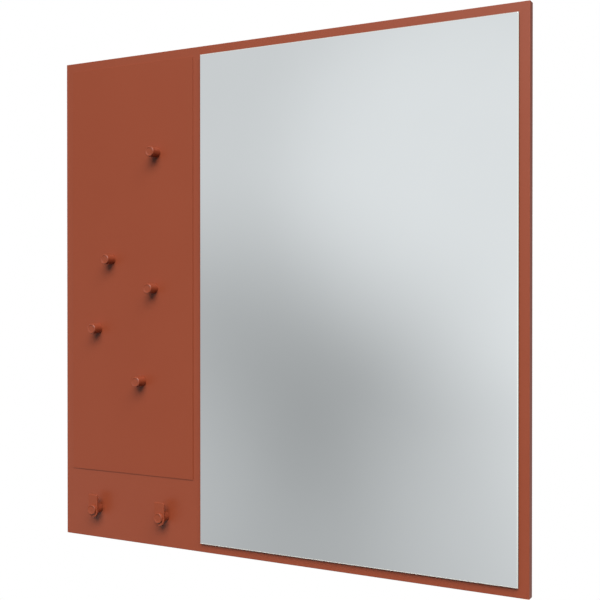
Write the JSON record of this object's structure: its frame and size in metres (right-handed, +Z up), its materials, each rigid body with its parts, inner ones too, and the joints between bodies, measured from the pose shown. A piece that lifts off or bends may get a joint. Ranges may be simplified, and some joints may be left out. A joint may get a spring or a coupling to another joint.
{
  "type": "wall mirror with notice board",
  "caption": "Square lacquered wall panel with a tall mirror, a magnetic notice board with turned magnets and hooks below it; it lifts off a hanging rail on the wall.",
  "frame": {"origin": "on the wall, in the middle of the wall rail's row of screw holes", "axes": "+Z up; +Y into the wall, so the mirror faces -Y; +X to the right seen from the front"},
  "size_m": [0.696, 0.0321, 0.696],
  "materials": {
    "rail_aluminium": "extruded, mill finish",
    "screw_steel": "zinc plated",
    "lacquered_fibreboard": "fibreboard under rust-red satin lacquer",
    "bumper_rubber": "soft, matt",
    "foam_tape": "closed-cell foam",
    "silvering": "silver layer under protective paint",
    "mirror_glass": "clear float glass with ground edges",
    "adhesive_film": "matt",
    "lacquered_sheet_steel": "rust-red satin lacquer",
    "lacquered_hook_metal": "rust-red satin lacquer",
    "lacquered_magnet_metal": "rust-red satin lacquer",
    "plated_magnet": "nickel plated"
  },
  "bodies": {
    "fixed_rail": {"wall_rail": "rail_aluminium"},
    "hanging_panel": {"panel_rail": "rail_aluminium", "panel_rail_screws": "screw_steel", "back_panel": "lacquered_fibreboard", "wall_bumpers": "bumper_rubber", "mirror_tape": "foam_tape", "mirror_silvering": "silvering", "mirror_glass": "mirror_glass", "notice_board_film": "adhesive_film", "notice_board": "lacquered_sheet_steel", "hook_left_peg": "lacquered_hook_metal", "hook_left_tongue": "lacquered_hook_metal", "hook_left_button": "lacquered_hook_metal", "hook_left_screw": "screw_steel", "hook_right_peg": "lacquered_hook_metal", "hook_right_tongue": "lacquered_hook_metal", "hook_right_button": "lacquered_hook_metal", "hook_right_screw": "screw_steel"},
    "magnet_1": {"magnet_1_knob": "lacquered_magnet_metal", "magnet_1_core": "plated_magnet"},
    "magnet_2": {"magnet_2_knob": "lacquered_magnet_metal", "magnet_2_core": "plated_magnet"},
    "magnet_3": {"magnet_3_knob": "lacquered_magnet_metal", "magnet_3_core": "plated_magnet"},
    "magnet_4": {"magnet_4_knob": "lacquered_magnet_metal", "magnet_4_core": "plated_magnet"},
    "magnet_5": {"magnet_5_knob": "lacquered_magnet_metal", "magnet_5_core": "plated_magnet"}
  },
  "joints": [
    {"name": "panel_lift", "type": "slide", "parent": "fixed_rail", "child": "hanging_panel", "axis": [0, 0, 1], "range_m": [0, 0.012]},
    {"name": "magnet_1_pull", "type": "slide", "parent": "hanging_panel", "child": "magnet_1", "axis": [0, -1, 0], "range_m": [0, 0.04]},
    {"name": "magnet_2_pull", "type": "slide", "parent": "hanging_panel", "child": "magnet_2", "axis": [0, -1, 0], "range_m": [0, 0.04]},
    {"name": "magnet_3_pull", "type": "slide", "parent": "hanging_panel", "child": "magnet_3", "axis": [0, -1, 0], "range_m": [0, 0.04]},
    {"name": "magnet_4_pull", "type": "slide", "parent": "hanging_panel", "child": "magnet_4", "axis": [0, -1, 0], "range_m": [0, 0.04]},
    {"name": "magnet_5_pull", "type": "slide", "parent": "hanging_panel", "child": "magnet_5", "axis": [0, -1, 0], "range_m": [0, 0.04]}
  ]
}
